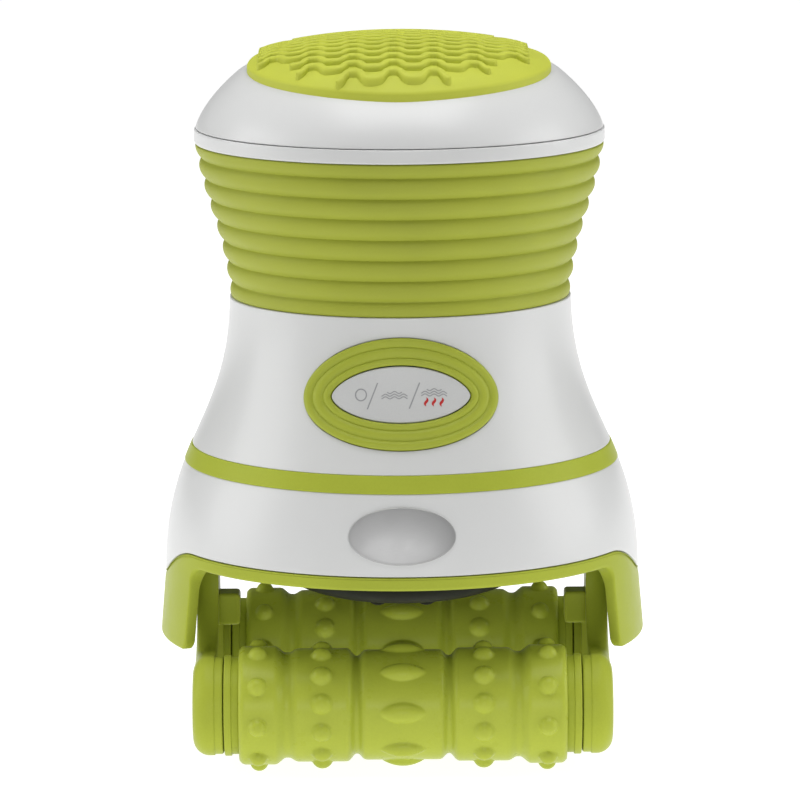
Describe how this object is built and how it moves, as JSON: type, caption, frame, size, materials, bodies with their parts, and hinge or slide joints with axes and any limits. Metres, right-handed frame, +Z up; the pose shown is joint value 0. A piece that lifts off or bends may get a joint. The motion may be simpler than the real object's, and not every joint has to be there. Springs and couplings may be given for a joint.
{
  "type": "foot massage roller",
  "caption": "Palm-held vibrating foot massager with a ribbed waist, a soft palm pad and a pull-off head that carries knobbed rollers either side of a heat dome.",
  "frame": {"origin": "on the ground below the body's centre line, at the height of the lowest roller bump", "axes": "+Z up the body's centre line, -Y towards the switch and the badge, +X along the rollers to the right as seen from the front"},
  "size_m": [0.1212, 0.118, 0.1785],
  "materials": {
    "soft_pad": "matte, fine grained soft-touch",
    "soft_grip": "matte soft-touch",
    "white_shell": "satin gloss",
    "button_white": "satin, printed pictograms",
    "bezel_green": "matte soft-touch",
    "lime_gloss": "semi-gloss",
    "roller_green": "gloss",
    "badge_silver": "fine brushed",
    "smoked_dome": "gloss, smoked",
    "axle_steel": "ground",
    "screw_steel": "nickel plated",
    "motor_steel": "zinc plated",
    "contact_metal": "plated spring metal",
    "inner_plastic": "moulded",
    "circuit_board": "solder mask",
    "lamp_red": "clear red",
    "cell_jacket": "shrink sleeve",
    "isolator_rubber": "matte"
  },
  "bodies": {
    "massager": {"cap_trim": "white_shell", "grip_sleeve": "soft_grip", "core_tube": "inner_plastic", "upper_housing": "white_shell", "switch_bezel": "bezel_green", "tact_switch": "screw_steel", "control_board": "circuit_board", "board_screws": "screw_steel", "accent_band": "lime_gloss", "lower_housing": "white_shell", "badge_plate": "badge_silver", "base_plate": "white_shell", "base_screws": "screw_steel", "heat_dome": "smoked_dome", "dome_screws": "screw_steel", "heater_board": "circuit_board", "infrared_lamps": "lamp_red", "motor": "motor_steel", "motor_bracket": "inner_plastic", "motor_isolators": "isolator_rubber", "motor_screws": "screw_steel", "battery_holder": "inner_plastic", "battery_cell_front_left": "cell_jacket", "battery_cell_front_right": "cell_jacket", "battery_cell_rear_left": "cell_jacket", "battery_cell_rear_right": "cell_jacket", "contact_springs": "contact_metal"},
    "battery_cap": {"top_cap": "white_shell", "palm_pad": "soft_pad", "cap_contacts": "contact_metal"},
    "button": {"mode_button": "button_white", "switch_plunger": "inner_plastic"},
    "motor_rotor": {"motor_shaft": "axle_steel", "eccentric_weight": "motor_steel"},
    "roller_head": {"clip_ring": "lime_gloss", "left_side_plate": "lime_gloss", "right_side_plate": "lime_gloss", "head_screws": "screw_steel", "front_axle": "axle_steel", "rear_axle": "axle_steel"},
    "front_roller": {"front_roller": "roller_green", "front_left_hub": "roller_green", "front_right_hub": "roller_green"},
    "rear_roller": {"rear_roller": "roller_green", "rear_left_hub": "roller_green", "rear_right_hub": "roller_green"}
  },
  "joints": [
    {"name": "front_roller_spin", "type": "hinge", "parent": "roller_head", "child": "front_roller", "pos_m": [0, -0.036, 0.01643], "axis": [1, 0, 0], "continuous": true},
    {"name": "rear_roller_spin", "type": "hinge", "parent": "roller_head", "child": "rear_roller", "pos_m": [0, 0.036, 0.01643], "axis": [1, 0, 0], "continuous": true},
    {"name": "button_press", "type": "slide", "parent": "massager", "child": "button", "axis": [0, 0.9632, -0.2689], "range_m": [0, 0.0008], "stiffness_N_per_m": 3000, "springref_m": -0.0002},
    {"name": "head_release", "type": "slide", "parent": "massager", "child": "roller_head", "axis": [0, 0, -1], "range_m": [0, 0.03]},
    {"name": "battery_cap_lift", "type": "slide", "parent": "massager", "child": "battery_cap", "axis": [0, 0, 1], "range_m": [0, 0.03]},
    {"name": "motor_spin", "type": "hinge", "parent": "massager", "child": "motor_rotor", "pos_m": [0, 0, 0.1], "axis": [0, 0, 1], "continuous": true}
  ]
}
